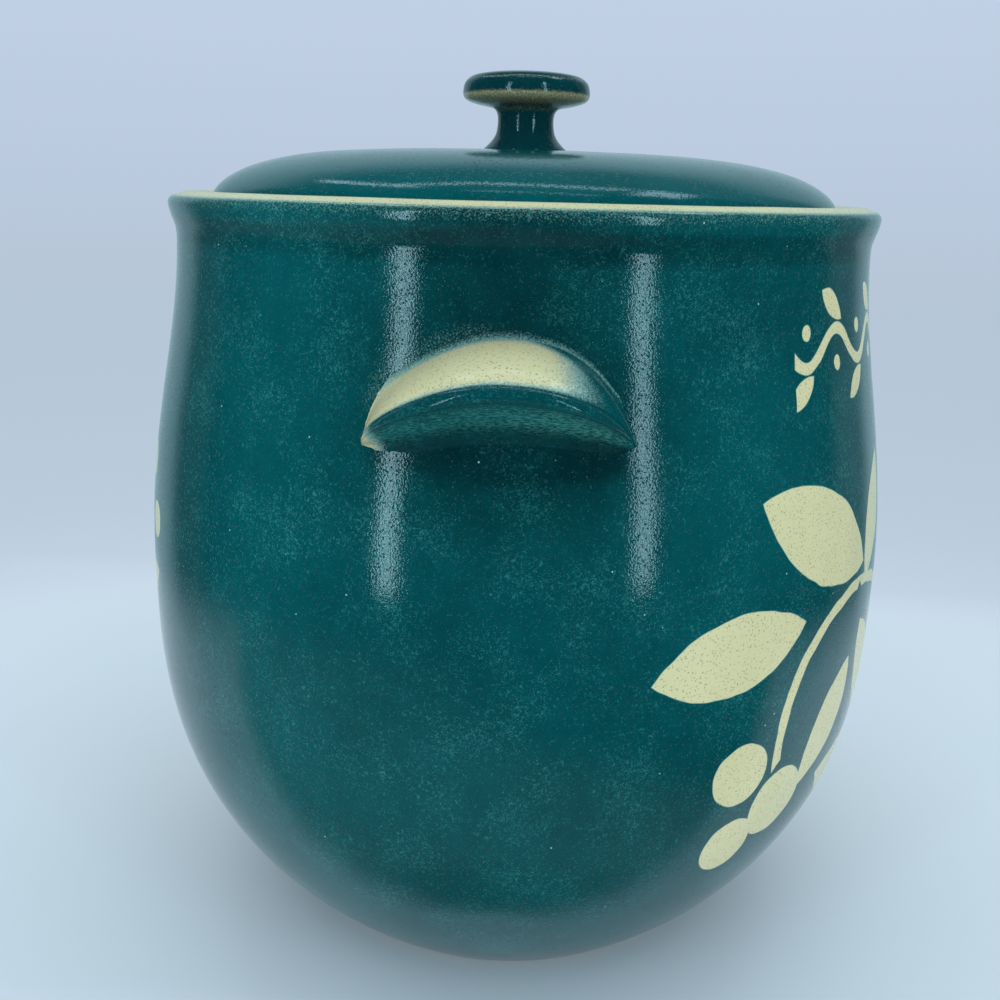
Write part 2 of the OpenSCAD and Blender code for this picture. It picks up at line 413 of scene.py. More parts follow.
def lug_thin_and_glint(s, row):
    """1 where the cream slip shows on a handle: its top, most of all to the left. It also holds a
    painted highlight along the right joint.
    """
    t = row / TOP_ROWS
    root = 0.02 + 0.85 * max(0.0, s) ** 2
    top = fade(t, root - 0.1, root + 0.2) * (1 - fade(t, 0.84, 1.16))
    body = top * (1 - fade(s, 0.1, 0.75))
    end = (1 - fade(s, -0.93, -0.76)) * (1 - fade(t, 2.2, 2.9))
    # A painted highlight: a thin light line along the joint, on the right
    joint_glint = (1 - fade(abs(t - 0.035), 0.01, 0.04)) * fade(s, -0.2, 0.3)
    return max(body, 0.8 * end, 0.36 * joint_glint)


def lug_drag(s, row):
    """1 where thin glaze has dragged into streaks: in the finger hollow, more to the right."""
    t = (row - TOP_ROWS - LIP_ROWS) / (LUG_ROWS - TOP_ROWS - LIP_ROWS)
    band = fade(t, 0.05, 0.3) * (1 - fade(t, 0.6, 0.95))
    return band * (0.55 + 0.45 * fade(s, -0.4, 0.5)) * (1 - fade(abs(s), 0.75, 0.95))


def lug_thick_and_shade(s, row):
    """How thick the teal lies on a handle, from 0 to 1: thickest at the root of the hollow, whose
    darkness there is painted shade as well as gathered glaze.
    """
    lip = fade(row, TOP_ROWS - 2, TOP_ROWS + 2) * (1 - fade(row, TOP_ROWS + 10, TOP_ROWS + 14))
    return 0.3 + 0.25 * lip + 0.65 * fade(row, LUG_ROWS - 12, LUG_ROWS - 4)


for label, value in (("thin", lug_thin_and_glint), ("drag", lug_drag), ("thick", lug_thick_and_shade)):
    layer = lug.data.attributes.new(label, "FLOAT", "POINT")
    layer.data.foreach_set("value", [value(*lug_places[v.index]) for v in lug.data.vertices])
mark(lug, "clay", lambda x, y, z: 0.0)

take_up(lug)
bpy.ops.object.mode_set(mode="EDIT")
bpy.ops.mesh.select_mode(type="EDGE")
bpy.ops.mesh.select_all(action="DESELECT")
bpy.ops.mesh.select_non_manifold()
bpy.ops.mesh.edge_face_add()
bpy.ops.mesh.select_all(action="SELECT")
bpy.ops.mesh.normals_make_consistent(inside=False)
bpy.ops.object.mode_set(mode="OBJECT")
bpy.ops.object.shade_smooth()

take_up(lug)
bpy.ops.object.duplicate()
lug_right = bpy.context.object
lug_right.name = lug_right.data.name = "lug_right"
bpy.ops.transform.rotate(value=math.pi, orient_axis="Z", center_override=(0, 0, 0))
bpy.ops.object.transform_apply(location=True, rotation=True, scale=True)

# Lid

crown_r = 10.0
lid_outer = even([(r / 10, lid_top_z(r / 10)) for r in range(100, 928)]
                 + [(LID_R, LID_EDGE_Z - 1)], 1.2)
lid_line = joined(
    even([(0, lid_top_z(crown_r) + 0.3), (crown_r, lid_top_z(crown_r))], 3.0),
    lid_outer,
    even([(LID_R, LID_EDGE_Z - 1), (LID_R, GALLERY_Z + 1.2)], 1.6),
    arc((LID_R - 1.2, GALLERY_Z + 1.2), 1.2, 1.2, 0, -90, 4),
    even([(LID_R - 1.2, GALLERY_Z), (COLLAR_R + 0.6, GALLERY_Z)], 2.0),
    [(COLLAR_R, GALLERY_Z - 0.6)],
    even([(COLLAR_R, GALLERY_Z - 0.6), (COLLAR_R, COLLAR_Z + 1)], 2.5),
    arc((COLLAR_R - 1, COLLAR_Z + 1), 1, 1, 0, -90, 4),
    arc((COLLAR_INNER_R + 1, COLLAR_Z + 1), 1, 1, -90, -180, 4),
    even([(COLLAR_INNER_R, COLLAR_Z + 1),
          (COLLAR_INNER_R, lid_top_z(COLLAR_INNER_R) - LID_T)], 3.0),
    even([(r, lid_top_z(r) - LID_T) for r in range(79, 11, -1)]
         + [(0, lid_top_z(12) - LID_T)], 4.0))
lid = thrown("lid_dome", lid_line)
uneven(lid, 0.2, 24.0)


def lid_thin(x, y, z):
    """1 under the lid, where the glaze is cream."""
    r = math.hypot(x, y)
    if r < LID_R - 0.5 and z < lid_top_z(min(r, LID_R)) - 2.5:
        return 1.0
    return 0.0


def lid_clay(x, y, z):
    """1 on the seat and the collar's foot, wiped bare so that they don't stick in the kiln."""
    r = math.hypot(x, y)
    if z < GALLERY_Z + 0.9 and r > COLLAR_R - 0.3:
        return 1.0
    return smooth((COLLAR_Z + 1.2 - z) / 0.8)


mark(lid, "thin", lid_thin)
mark(lid, "clay", lid_clay)
mark(lid, "drag", lambda x, y, z: 0.0)
mark(lid, "thick", lambda x, y, z: 0.1)

# Knob

knob_z = lid_top_z(KNOB_FOOT_R)
# Radius and height above the lid, up the flared foot and stem, round the disc and over its crown
knob_side = through([
    (KNOB_FOOT_R + 0.4, 0.5), (10.2, 2.7), (8.85, 5.0), (STEM_R, 8.3), (8.7, 10.7), (9.7, 12.0),
    (11.4, 12.5), (14.4, 13.1), (17.5, 14.05), (18.8, 15.2), (KNOB_R, 16.8), (18.45, 19.1),
    (16.6, 20.8), (13.6, 21.6), (9.0, 22.1), (4.5, 22.3), (0, KNOB_H - 0.05),
], 8)
knob_line = joined(
    [(0, knob_z - 0.6), (8, knob_z - 0.6), (KNOB_FOOT_R + 0.9, knob_z - 0.3)],
    even([(r, knob_z + h) for r, h in knob_side], 0.6))
knob = thrown("knob", knob_line, 160)


def knob_thin_and_glint(x, y, z):
    """How far the slip shows through on the knob: under the disc and down the foot. A painted
    highlight lies along the disc's upper edge.
    """
    r, h = math.hypot(x, y), z - knob_z
    under = fade(h, 9.8, 12.2) * (1 - fade(h, 15.6, 16.6)) * (0.5 + 0.5 * fade(r, 10.0, 17.0))
    # Painted highlight: a light line round the disc's upper edge
    edge = fade(r, 17.0, 18.2) * fade(h, 19.2, 20.0) * (1 - fade(h, 20.2, 20.9))
    return max(0.54 * under, 0.4 * edge)


mark(knob, "thin", knob_thin_and_glint)
mark(knob, "clay", lambda x, y, z: 0.0)
mark(knob, "drag", lambda x, y, z: 0.0)
mark(knob, "thick", lambda x, y, z: 0.5)

# Materials


def linear(hex_colour):
    """An sRGB colour such as "#0a4b52", as the linear numbers that the nodes take."""
    values = [int(hex_colour[i:i + 2], 16) / 255 for i in (1, 3, 5)]
    return [v / 12.92 if v < 0.04045 else ((v + 0.055) / 1.055) ** 2.4 for v in values] + [1.0]


def put(tree, kind, links, out=0, **settings):
    """Adds a node with its settings, fills or links its inputs, and returns one output."""
    node = tree.nodes.new(kind)
    for name, value in settings.items():
        setattr(node, name, value)
    for socket, value in links.items():
        if isinstance(value, bpy.types.NodeSocket):
            tree.links.new(value, node.inputs[socket])
        else:
            node.inputs[socket].default_value = value
    return node.outputs[out] if len(node.outputs) else None


def blank(name):
    """A new material with an empty node tree."""
    material = bpy.data.materials.new(name)
    material.use_nodes = True
    material.node_tree.nodes.clear()
    return material, material.node_tree


# Painted resist on the front and back, measured on the wall in millimetres: distance along the
# wall from the middle, and height. Each figure is drawn once and mirrored.
FRONT_LEAVES = [
    # middle across, middle height, length, width, turn in degrees
    (0, 138, 64, 26, 90), (16.2, 134, 58, 22, 56), (0, 86, 58, 5, 90), (38, 60, 66, 24, 14),
    (44, 93, 44, 18, 58), (84, 142, 58, 24, 26), (117, 117, 50, 21, -10), (73, 86, 40, 16, -60),
    (47.5, 140.5, 38, 16, 112),
]
FRONT_STEMS = [
    # centre across, centre height, radius, width, first and last angle in degrees
    (62, 66, 58, 3.4, 92, 180), (62, 88, 36, 3.4, -12, 92),
]
FRONT_BERRIES = [
    # across, height, radius
    (93, 68, 11.0), (111, 82, 9.5), (109, 58, 9.0),
]
BACK_LEAVES = [
    (0, 140, 50, 16, 90), (20, 130, 48, 14, 50), (34, 110, 46, 13, 16), (0, 98, 52, 4, 90),
]
BACK_BERRIES = [(54, 132, 5.5), (44, 148, 5.0)]
VINE_Z = 190.0
VINE_RISE = 4.6
VINE_PERIOD = 33.0
VINE_HALF = 96.0
WRAP_R = 115.0


def figure(tree, at, leaves, stems, berries):
    """Distance in millimetres from the nearest edge of a painted figure, negative inside it."""
    edge = 1000.0
    for u, v, length, width, turn in leaves:
        local = put(tree, "ShaderNodeMapping", {"Vector": at, "Location": (u, v, 0),
                    "Rotation": (0, 0, math.radians(turn))}, vector_type="TEXTURE")
        folded = put(tree, "ShaderNodeVectorMath", {0: local}, operation="ABSOLUTE")
        radius = (length ** 2 + width ** 2) / (4 * width)
        away = put(tree, "ShaderNodeVectorMath", {0: folded, 1: (0, width / 2 - radius, 0)},
                   out=1, operation="DISTANCE")
        away = put(tree, "ShaderNodeMath", {0: away, 1: radius}, operation="SUBTRACT")
        edge = put(tree, "ShaderNodeMath", {0: away, 1: edge}, operation="MINIMUM")
    for u, v, radius, width, first, last in stems:
        middle, half = math.radians((first + last) / 2), math.radians((last - first) / 2)
        local = put(tree, "ShaderNodeMapping", {"Vector": at, "Location": (u, v, 0),
                    "Rotation": (0, 0, middle)}, vector_type="TEXTURE")
        away = put(tree, "ShaderNodeVectorMath", {0: local}, out=1, operation="LENGTH")
        away = put(tree, "ShaderNodeMath", {0: away, 1: radius}, operation="SUBTRACT")
        away = put(tree, "ShaderNodeMath", {0: away}, operation="ABSOLUTE")
        away = put(tree, "ShaderNodeMath", {0: away, 1: width / 2}, operation="SUBTRACT")
        along = put(tree, "ShaderNodeSeparateXYZ", {0: local})
        beyond = put(tree, "ShaderNodeMath", {0: radius * math.cos(half), 1: along},
                     operation="SUBTRACT")
        away = put(tree, "ShaderNodeMath", {0: away, 1: beyond}, operation="MAXIMUM")
        edge = put(tree, "ShaderNodeMath", {0: away, 1: edge}, operation="MINIMUM")
    for u, v, radius in berries:
        away = put(tree, "ShaderNodeVectorMath", {0: at, 1: (u, v, 0)}, out=1,
                   operation="DISTANCE")
        away = put(tree, "ShaderNodeMath", {0: away, 1: radius}, operation="SUBTRACT")
        edge = put(tree, "ShaderNodeMath", {0: away, 1: edge}, operation="MINIMUM")
    return edge


def vine(tree, at):
    """Distance from the edge of a waved line with a small leaf at every turn."""
    u = put(tree, "ShaderNodeSeparateXYZ", {0: at})
    v = put(tree, "ShaderNodeSeparateXYZ", {0: at}, out=1)
    turn = put(tree, "ShaderNodeMath", {0: u, 1: math.tau / VINE_PERIOD}, operation="MULTIPLY")
    wave = put(tree, "ShaderNodeMath", {0: turn}, operation="SINE")
    line = put(tree, "ShaderNodeMath", {0: wave, 1: VINE_RISE, 2: VINE_Z},
               operation="MULTIPLY_ADD")
    away = put(tree, "ShaderNodeMath", {0: v, 1: line}, operation="SUBTRACT")
    away = put(tree, "ShaderNodeMath", {0: away}, operation="ABSOLUTE")
    slope = put(tree, "ShaderNodeMath", {0: turn}, operation="COSINE")
    slope = put(tree, "ShaderNodeMath", {0: slope, 1: VINE_RISE * math.tau / VINE_PERIOD},
                operation="MULTIPLY")
    slope = put(tree, "ShaderNodeMath", {0: slope, 1: slope, 2: 1.0}, operation="MULTIPLY_ADD")
    slope = put(tree, "ShaderNodeMath", {0: slope}, operation="SQRT")
    away = put(tree, "ShaderNodeMath", {0: away, 1: slope}, operation="DIVIDE")
    away = put(tree, "ShaderNodeMath", {0: away, 1: 1.45}, operation="SUBTRACT")
    within = put(tree, "ShaderNodeMath", {0: u, 1: 0.0, 2: VINE_PERIOD}, operation="WRAP")
    again = put(tree, "ShaderNodeCombineXYZ", {0: within, 1: v})
    rise = VINE_Z + 10.5
    fall = VINE_Z - 10.5
    dabs = figure(tree, again, [
        (VINE_PERIOD * 0.25 + 2.5, rise, 14, 5.6, 34), (VINE_PERIOD * 0.75 + 2.5, fall, 14, 5.6, -34),
    ], [], [(VINE_PERIOD * 0.75, VINE_Z + 4.2, 2.0), (VINE_PERIOD * 0.25, VINE_Z - 4.2, 2.0)])
    both = put(tree, "ShaderNodeMath", {0: away, 1: dabs}, operation="MINIMUM")
    past = put(tree, "ShaderNodeMath", {0: u, 1: VINE_HALF}, operation="SUBTRACT")
    return put(tree, "ShaderNodeMath", {0: both, 1: past}, operation="MAXIMUM")


def painted(tree, mm):
    """Distance from the edge of all that is painted on the wall, in millimetres."""
    x = put(tree, "ShaderNodeSeparateXYZ", {0: mm})
    y = put(tree, "ShaderNodeSeparateXYZ", {0: mm}, out=1)
    z = put(tree, "ShaderNodeSeparateXYZ", {0: mm}, out=2)
    sway = put(tree, "ShaderNodeTexNoise", {"Vector": mm, "Scale": 1 / 9, "Detail": 1.5}, out=1)
    sway = put(tree, "ShaderNodeVectorMath", {0: sway, 1: (0.5, 0.5, 0.5)}, operation="SUBTRACT")
    sway = put(tree, "ShaderNodeVectorMath", {0: sway, 1: (1.6, 1.6, 0)}, operation="MULTIPLY")
    edges = []
    for side in (-1, 1):
        ahead = put(tree, "ShaderNodeMath", {0: y, 1: float(side)}, operation="MULTIPLY")
        around = put(tree, "ShaderNodeMath", {0: x, 1: ahead}, operation="ARCTAN2")
        around = put(tree, "ShaderNodeMath", {0: around}, operation="ABSOLUTE")
        around = put(tree, "ShaderNodeMath", {0: around, 1: WRAP_R}, operation="MULTIPLY")
        at = put(tree, "ShaderNodeCombineXYZ", {0: around, 1: z})
        at = put(tree, "ShaderNodeVectorMath", {0: at, 1: sway}, operation="ADD")
        if side < 0:
            edges.append(figure(tree, at, FRONT_LEAVES, FRONT_STEMS, FRONT_BERRIES))
            edges.append(vine(tree, at))
        else:
            edges.append(figure(tree, at, BACK_LEAVES, [], BACK_BERRIES))
    nearest = put(tree, "ShaderNodeMath", {0: edges[0], 1: edges[1]}, operation="MINIMUM")
    return put(tree, "ShaderNodeMath", {0: nearest, 1: edges[2]}, operation="MINIMUM")


def dipped_glaze(name, deep, light, half="#93c6ba", speckle=0.48, with_paint=False):
    """Stoneware glaze, dipped over a cream slip and fired: teal with fine lighter speckle,
    small pits, and cream where it is wiped, painted off or thin. The eye gets a satin gloss
    that breaks up in pits, and colour that clouds slowly over the wall."""
    material, tree = blank(name)
    place = put(tree, "ShaderNodeTexCoord", {}, out=3)
    mm = put(tree, "ShaderNodeVectorMath", {0: place, "Scale": 1000.0}, operation="SCALE")

    # Slow clouds 30 mm across, mottles of 5 mm, curled speckle of 0.5 mm
    # The thick attribute darkens the teal; under the handles and the rim's roll it is painted shade
    thick = put(tree, "ShaderNodeAttribute", {}, out=2, attribute_name="thick")
    clouds = put(tree, "ShaderNodeTexNoise", {"Vector": mm, "Scale": 1 / 30, "Detail": 2.0})
    mottle = put(tree, "ShaderNodeTexNoise", {"Vector": mm, "Scale": 1 / 5, "Detail": 3.0})
    curl = put(tree, "ShaderNodeTexNoise", {"Vector": mm, "Scale": 1 / 0.75, "Detail": 3.0,
               "Roughness": 0.65, "Distortion": 1.4})
    dense = put(tree, "ShaderNodeTexNoise", {"Vector": mm, "Scale": 1 / 16, "Detail": 2.0})

    tone = put(tree, "ShaderNodeMath", {0: mottle, 1: 0.7, 2: clouds}, operation="MULTIPLY_ADD")
    thick = put(tree, "ShaderNodeMath", {0: thick, 1: 1.8}, operation="MULTIPLY")
    tone = put(tree, "ShaderNodeMath", {0: tone, 1: thick}, operation="SUBTRACT")
    tone = put(tree, "ShaderNodeMapRange", {"Value": tone, "From Min": -1.1, "From Max": 0.8})
    teal = put(tree, "ShaderNodeMix", {0: tone, 6: deep, 7: light}, out=2, data_type="RGBA")

    share = put(tree, "ShaderNodeMapRange", {"Value": dense, "From Min": 0.35, "From Max": 0.7,
                "To Min": 0.62, "To Max": 0.52})
    speck = put(tree, "ShaderNodeMath", {0: curl, 1: share}, operation="SUBTRACT")
    speck = put(tree, "ShaderNodeMapRange", {"Value": speck, "From Min": -0.02, "From Max": 0.09,
                "To Max": speckle})
    lively = put(tree, "ShaderNodeMath", {0: tone, 1: 0.7, 2: 0.35}, operation="MULTIPLY_ADD")
    speck = put(tree, "ShaderNodeMath", {0: speck, 1: lively}, operation="MULTIPLY")
    teal = put(tree, "ShaderNodeMix", {0: speck, 6: teal, 7: linear("#3b9292")}, out=2,
               data_type="RGBA")

    # Rare white crystals, about 9 mm apart and 0.5 mm across
    crystal = put(tree, "ShaderNodeTexVoronoi", {"Vector": mm, "Scale": 1 / 9})
    crystal = put(tree, "ShaderNodeMapRange", {"Value": crystal, "From Min": 0.028,
                  "From Max": 0.018, "To Max": 0.8})
    teal = put(tree, "ShaderNodeMix", {0: crystal, 6: teal, 7: linear("#a9d4cc")}, out=2,
               data_type="RGBA")

    # Cream slip with brown iron specks of 0.2 mm
    warm = put(tree, "ShaderNodeTexNoise", {"Vector": mm, "Scale": 1 / 14, "Detail": 2.0})
    cream = put(tree, "ShaderNodeMix", {0: warm, 6: linear("#c5c69c"), 7: linear("#cfcfa6")},
                out=2, data_type="RGBA")
    iron = put(tree, "ShaderNodeTexVoronoi", {"Vector": mm, "Scale": 1 / 0.8})
    iron = put(tree, "ShaderNodeMapRange", {"Value": iron, "From Min": 0.32, "From Max": 0.16,
               "To Max": 0.8})
    some = put(tree, "ShaderNodeMapRange", {"Value": curl, "From Min": 0.41, "From Max": 0.51})
    iron = put(tree, "ShaderNodeMath", {0: iron, 1: some}, operation="MULTIPLY")
    cream = put(tree, "ShaderNodeMix", {0: iron, 6: cream, 7: linear("#7d6f4c")}, out=2,
                data_type="RGBA")

    # Pits where gas left the glaze, dull inside, with painted shade darkening them
    ripple = put(tree, "ShaderNodeTexNoise", {"Vector": mm, "Scale": 1 / 0.5, "Detail": 1.5})
    pits = put(tree, "ShaderNodeTexVoronoi", {"Vector": mm, "Scale": 1 / 1.15})
    pits = put(tree, "ShaderNodeMapRange", {"Value": pits, "From Min": 0.08, "From Max": 0.24})
    hollow = put(tree, "ShaderNodeMath", {0: 1.0, 1: pits}, operation="SUBTRACT")
    sunk = put(tree, "ShaderNodeMath", {0: hollow, 1: 0.5}, operation="MULTIPLY")
    teal = put(tree, "ShaderNodeMix", {0: sunk, 6: teal, 7: deep}, out=2, data_type="RGBA")

    # Where the slip shows: a wiped or thin glaze breaks in grains, a painted edge is clean
    # The thin attribute also lightens painted highlights: along each handle's right joint and round
    # the knob's disc
    thin = put(tree, "ShaderNodeAttribute", {}, out=2, attribute_name="thin")
    grain = put(tree, "ShaderNodeTexNoise", {"Vector": mm, "Scale": 1 / 0.4, "Detail": 2.0})
    bare = put(tree, "ShaderNodeMath", {0: grain, 1: 0.9, 2: -0.45}, operation="MULTIPLY_ADD")
    bare = put(tree, "ShaderNodeMath", {0: bare, 1: thin}, operation="ADD")
    bare = put(tree, "ShaderNodeMapRange", {"Value": bare, "From Min": 0.16, "From Max": 0.84})
    none = put(tree, "ShaderNodeMapRange", {"Value": thin, "From Min": 0.0, "From Max": 0.12})
    bare = put(tree, "ShaderNodeMath", {0: bare, 1: none}, operation="MULTIPLY")
    if with_paint:
        edge = painted(tree, mm)
        paint = put(tree, "ShaderNodeMapRange", {"Value": edge, "From Min": 0.16,
                    "From Max": -0.16})
        bare = put(tree, "ShaderNodeMath", {0: bare, 1: paint}, operation="MAXIMUM")
    between = put(tree, "ShaderNodeMix", {0: 0.5, 6: teal, 7: linear(half)}, out=2,
                  data_type="RGBA")
    first = put(tree, "ShaderNodeMapRange", {"Value": bare, "From Max": 0.5})
    second = put(tree, "ShaderNodeMapRange", {"Value": bare, "From Min": 0.5, "From Max": 1.0})
    colour = put(tree, "ShaderNodeMix", {0: first, 6: teal, 7: between}, out=2, data_type="RGBA")
    colour = put(tree, "ShaderNodeMix", {0: second, 6: colour, 7: cream}, out=2,
                 data_type="RGBA")

    # Grains of thin glaze drawn out along the handle, 1.5 mm long and 0.5 mm wide
    drag = put(tree, "ShaderNodeAttribute", {}, out=2, attribute_name="drag")
    drawn = put(tree, "ShaderNodeMapping", {"Vector": mm, "Scale": (1, 0.33, 1)})
    drawn = put(tree, "ShaderNodeTexNoise", {"Vector": drawn, "Scale": 1 / 0.42, "Detail": 3.0})
    drawn = put(tree, "ShaderNodeMapRange", {"Value": drawn, "From Min": 0.42, "From Max": 0.66,
                "To Max": 0.6})
    drawn = put(tree, "ShaderNodeMath", {0: drawn, 1: drag}, operation="MULTIPLY")
    colour = put(tree, "ShaderNodeMix", {0: drawn, 6: colour, 7: linear("#58a698")}, out=2,
                 data_type="RGBA")

    # Bare fired clay at the foot: rough, pinkish brown
    clay = put(tree, "ShaderNodeAttribute", {}, out=2, attribute_name="clay")
    clay = put(tree, "ShaderNodeMath", {0: grain, 1: 0.5, 2: clay}, operation="MULTIPLY_ADD")
    clay = put(tree, "ShaderNodeMapRange", {"Value": clay, "From Min": 0.7, "From Max": 0.8})
    colour = put(tree, "ShaderNodeMix", {0: clay, 6: colour, 7: linear("#a58f84")}, out=2,
                 data_type="RGBA")

    # Gloss: satin teal, duller cream and clay
    rough = put(tree, "ShaderNodeMath", {0: mottle, 1: 0.07, 2: 0.025},
                operation="MULTIPLY_ADD")
    rough = put(tree, "ShaderNodeMath", {0: bare, 1: 0.14, 2: rough}, operation="MULTIPLY_ADD")
    rough = put(tree, "ShaderNodeMath", {0: clay, 1: 0.5, 2: rough}, operation="MULTIPLY_ADD")
    rough = put(tree, "ShaderNodeMath", {0: hollow, 1: 0.1, 2: rough}, operation="MULTIPLY_ADD")

    # Surface: pits up to 0.6 mm across and 1.15 mm apart, and a finer ripple of 0.5 mm
    relief = put(tree, "ShaderNodeMath", {0: pits, 1: 4.0, 2: ripple}, operation="MULTIPLY_ADD")
    bump = put(tree, "ShaderNodeBump", {"Height": relief, "Strength": 1.0,
               "Distance": 0.03 * MM})
    shader = put(tree, "ShaderNodeBsdfPrincipled", {"Base Color": colour, "Roughness": rough,
                 "IOR": 1.46, "Normal": bump})
    put(tree, "ShaderNodeOutputMaterial", {"Surface": shader})
    return material


def finish_with(piece, material):
    """Gives the piece this one material."""
    piece.data.materials.clear()
    piece.data.materials.append(material)


wall_glaze = dipped_glaze("stoneware glaze, dipped over painted slip", linear("#01282c"),
                          linear("#035157"), with_paint=True)
plain_glaze = dipped_glaze("stoneware glaze, dipped", linear("#01282c"), linear("#035157"),
                           half="#a8d3cb")
lid_glaze = dipped_glaze("stoneware glaze, dipped evenly", linear("#01282c"), linear("#035157"),
                         speckle=0.14)
knob_glaze = dipped_glaze("stoneware glaze, dipped thick", linear("#01262c"),
                          linear("#054147"), half="#a8a47c", speckle=0.08)
finish_with(pot_wall, wall_glaze)
finish_with(lug, plain_glaze)
finish_with(lug_right, plain_glaze)
finish_with(lid, lid_glaze)
finish_with(knob, knob_glaze)

# Table, light and camera

deselect()
bpy.ops.mesh.primitive_grid_add(x_subdivisions=24, y_subdivisions=24, size=1.6)
table = bpy.context.object
table.name = table.data.name = "table_top"
material, tree = blank("table laminate, plain pale")
spot = put(tree, "ShaderNodeTexCoord", {}, out=3)
across = put(tree, "ShaderNodeSeparateXYZ", {0: spot})
reach = put(tree, "ShaderNodeVectorMath", {0: spot}, out=1, operation="LENGTH")
cloudy = put(tree, "ShaderNodeTexNoise", {"Vector": spot, "Scale": 9.0, "Detail": 2.0})
paint = put(tree, "ShaderNodeMix", {0: cloudy, 6: linear("#cfe0ec"), 7: linear("#d3e3ee")}, out=2,
            data_type="RGBA")
top = put(tree, "ShaderNodeBsdfPrincipled", {"Base Color": paint, "Roughness": 0.55,
          "IOR": 1.45})
clear = put(tree, "ShaderNodeBsdfTransparent", {})
behind = put(tree, "ShaderNodeMapRange", {"Value": across, "From Min": 0.21, "From Max": 0.29},
             interpolation_type="SMOOTHSTEP")
before = put(tree, "ShaderNodeMapRange", {"Value": across, "From Min": -0.084, "From Max": -0.112},
             interpolation_type="SMOOTHSTEP")
far = put(tree, "ShaderNodeMapRange", {"Value": reach, "From Min": 0.27, "From Max": 0.45},
          interpolation_type="SMOOTHSTEP")
gone = put(tree, "ShaderNodeMath", {0: behind, 1: far}, operation="MAXIMUM")
gone = put(tree, "ShaderNodeMath", {0: gone, 1: before}, operation="MAXIMUM")
mixed = put(tree, "ShaderNodeMixShader", {0: gone, 1: top, 2: clear})
put(tree, "ShaderNodeOutputMaterial", {"Surface": mixed})
finish_with(table, material)

world = bpy.data.worlds.new("studio")
bpy.context.scene.world = world
world.use_nodes = True
tree = world.node_tree
tree.nodes.clear()
way = put(tree, "ShaderNodeTexCoord", {})
x = put(tree, "ShaderNodeSeparateXYZ", {0: way})
y = put(tree, "ShaderNodeSeparateXYZ", {0: way}, out=1)
height = put(tree, "ShaderNodeSeparateXYZ", {0: way}, out=2)
# Backdrop as the camera sees it: sine of the elevation from -0.45 to 0.25
rise = put(tree, "ShaderNodeMapRange", {"Value": height, "From Min": -0.45, "From Max": 0.25})
ramp = tree.nodes.new("ShaderNodeValToRGB")
shades = [(0.0, "#cbdded"), (0.14, "#cbdded"), (0.18, "#c3d3e4"), (0.255, "#bbccdd"),
          (0.38, "#b7c8d9"), (0.51, "#b6c6d6"), (0.63, "#bac9dd"), (0.86, "#c1d0e5")]
while len(ramp.color_ramp.elements) < len(shades):
    ramp.color_ramp.elements.new(0.5)
for element, (position, shade) in zip(ramp.color_ramp.elements, shades):
    element.position = position
    element.color = linear(shade)
tree.links.new(rise, ramp.inputs[0])
seen = ramp.outputs[0]
# In glossy surfaces: a bright backdrop behind the pot, a dim room on the camera's side
flat = put(tree, "ShaderNodeCombineXYZ", {0: x, 1: y})
flat = put(tree, "ShaderNodeVectorMath", {0: flat}, operation="NORMALIZE")
facing = put(tree, "ShaderNodeVectorMath", {0: flat, 1: (0.996, 0.087, 0)}, out=1,
             operation="DOT_PRODUCT")
lit = put(tree, "ShaderNodeMapRange", {"Value": facing, "From Min": 0.51, "From Max": 0.74},
          interpolation_type="SMOOTHSTEP")
low = put(tree, "ShaderNodeMapRange", {"Value": height, "From Min": 0.82, "From Max": 0.48},
          interpolation_type="SMOOTHSTEP")
lit = put(tree, "ShaderNodeMath", {0: lit, 1: low}, operation="MULTIPLY")
share = put(tree, "ShaderNodeMapRange", {"Value": y, "From Min": -0.3, "From Max": 0.3,
            "To Min": 0.34, "To Max": 0.14})
hem = put(tree, "ShaderNodeMapRange", {"Value": facing, "From Min": 0.27, "From Max": 0.37,
          "To Max": share}, interpolation_type="SMOOTHSTEP")
lit = put(tree, "ShaderNodeMath", {0: lit, 1: hem}, operation="MAXIMUM")
# A dim ground before the table, darker straight below
sunk = put(tree, "ShaderNodeMath", {0: y, 1: -0.18, 2: height}, operation="MULTIPLY_ADD")
ground = put(tree, "ShaderNodeMapRange", {"Value": sunk, "From Min": -0.42, "From Max": -0.6},
             interpolation_type="SMOOTHSTEP")
nadir = put(tree, "ShaderNodeMapRange", {"Value": height, "From Min": -1.0, "From Max": -0.85,
            "To Min": 0.25}, interpolation_type="SMOOTHSTEP")
ground = put(tree, "ShaderNodeMath", {0: ground, 1: nadir}, operation="MULTIPLY")
room = put(tree, "ShaderNodeMix", {0: ground, 6: linear("#151c1e"), 7: linear("#6a7276")}, out=2,
           data_type="RGBA")
mirrored = put(tree, "ShaderNodeMix", {0: lit, 6: room, 7: linear("#a3c2ce")}, out=2,
               data_type="RGBA")
camera_ray = put(tree, "ShaderNodeLightPath", {}, out=0)
glossy_ray = put(tree, "ShaderNodeLightPath", {}, out=3)
shade = put(tree, "ShaderNodeMix", {0: glossy_ray, 6: linear("#f6f8f9"), 7: mirrored}, out=2,
            data_type="RGBA")
shade = put(tree, "ShaderNodeMix", {0: camera_ray, 6: shade, 7: seen}, out=2, data_type="RGBA")
sky = put(tree, "ShaderNodeBackground", {"Color": shade, "Strength": 1.0})
put(tree, "ShaderNodeOutputWorld", {"Surface": sky})

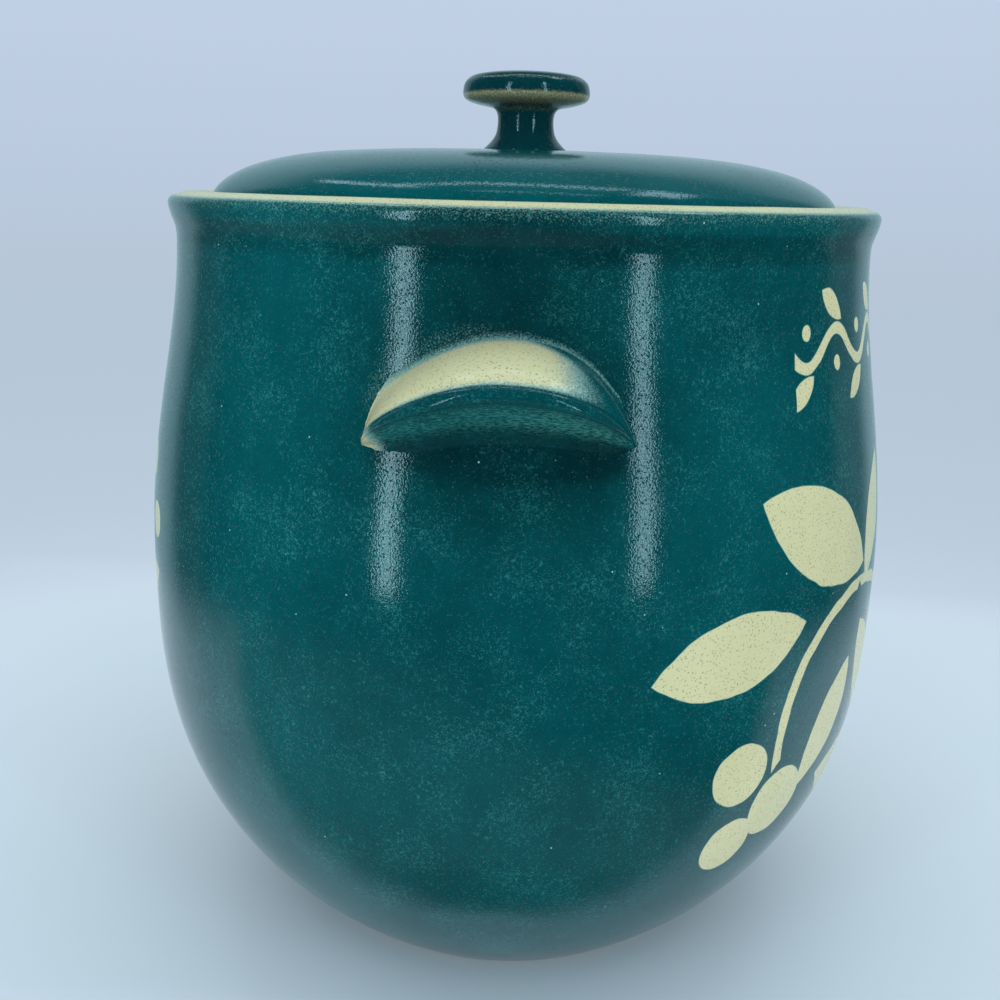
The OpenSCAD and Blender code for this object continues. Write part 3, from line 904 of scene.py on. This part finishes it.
# Softbox strips on both sides of the camera, upright, facing the pot: place, width, length, power
# and the height of the middle. They mirror in the wall as two pale bands.
for name, x, y, middle, power in (("strip_left", -0.540, 0.313, 0.323, 0.70),
                                  ("strip_right", -0.504, -0.366, 0.351, 0.64)):
    deselect()
    bpy.ops.object.light_add(type="AREA", location=(x, y, middle))
    strip = bpy.context.object
    strip.name = strip.data.name = name
    strip.data.shape = "RECTANGLE"
    strip.data.size = 0.04
    strip.data.size_y = 0.60
    strip.data.energy = power
    strip.data.color = linear("#c6f3ff")[:3]
    strip.rotation_euler = Vector((x, y, 0)).to_track_quat("Z", "Y").to_euler()
    strip.visible_camera = False

# Ceiling lights, which mirror in the lid as thin streaks: their two ends and width
CEILING_Z = 0.836
for name, begin, end, width in (("ceiling_long", (0.115, 0.27), (0.115, -0.21), 0.045),
                                ("ceiling_near", (-0.09, 0.115), (-0.09, -0.19), 0.02),
                                ("ceiling_slant", (0.371, 0.465), (0.042, 0.246), 0.045),
                                ("ceiling_spot", (0.07, -0.25), (0.07, -0.42), 0.16)):
    first, last = Vector(begin), Vector(end)
    middle = (first + last) / 2
    deselect()
    bpy.ops.object.light_add(type="AREA", location=(middle.x, middle.y, CEILING_Z))
    bar = bpy.context.object
    bar.name = bar.data.name = name
    bar.data.shape = "RECTANGLE"
    bar.data.size = (last - first).length
    bar.data.size_y = width
    bar.data.energy = 12.0 * bar.data.size * width
    bar.data.color = linear("#d3efff")[:3]
    bar.rotation_euler = (0, 0, math.atan2(last.y - first.y, last.x - first.x))
    bar.visible_camera = False

eye = Vector((-350.741, -14.087, 226.4325)) * MM
ahead = Vector((0.96091056, 0.05178255, -0.27197326))
right = Vector((0.06081237, -0.99783928, 0.02487223))
upward = Vector((0.27009766, 0.04043933, 0.96198332))
camera = bpy.data.objects.new("camera", bpy.data.cameras.new("camera"))
bpy.context.scene.collection.objects.link(camera)
camera.matrix_world = Matrix((
    (right.x, upward.x, -ahead.x, eye.x),
    (right.y, upward.y, -ahead.y, eye.y),
    (right.z, upward.z, -ahead.z, eye.z),
    (0, 0, 0, 1)))
camera.data.lens = 39.6
camera.data.sensor_width = 36
camera.data.clip_start = 0.01
camera.data.clip_end = 100
bpy.context.scene.camera = camera
bpy.context.scene.view_settings.view_transform = "Standard"

# What rides on what

for piece, body, node, slot in (
        (pot_wall, "pot", "pot_body", "pot_glaze"), (lug, "pot", "handle_left", "handle_glaze"),
        (lug_right, "pot", "handle_right", "handle_glaze"), (lid, "lid", "lid", "lid_glaze"),
        (knob, "lid", "lid_knob", "knob_glaze")):
    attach(piece, body)
    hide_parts(node)
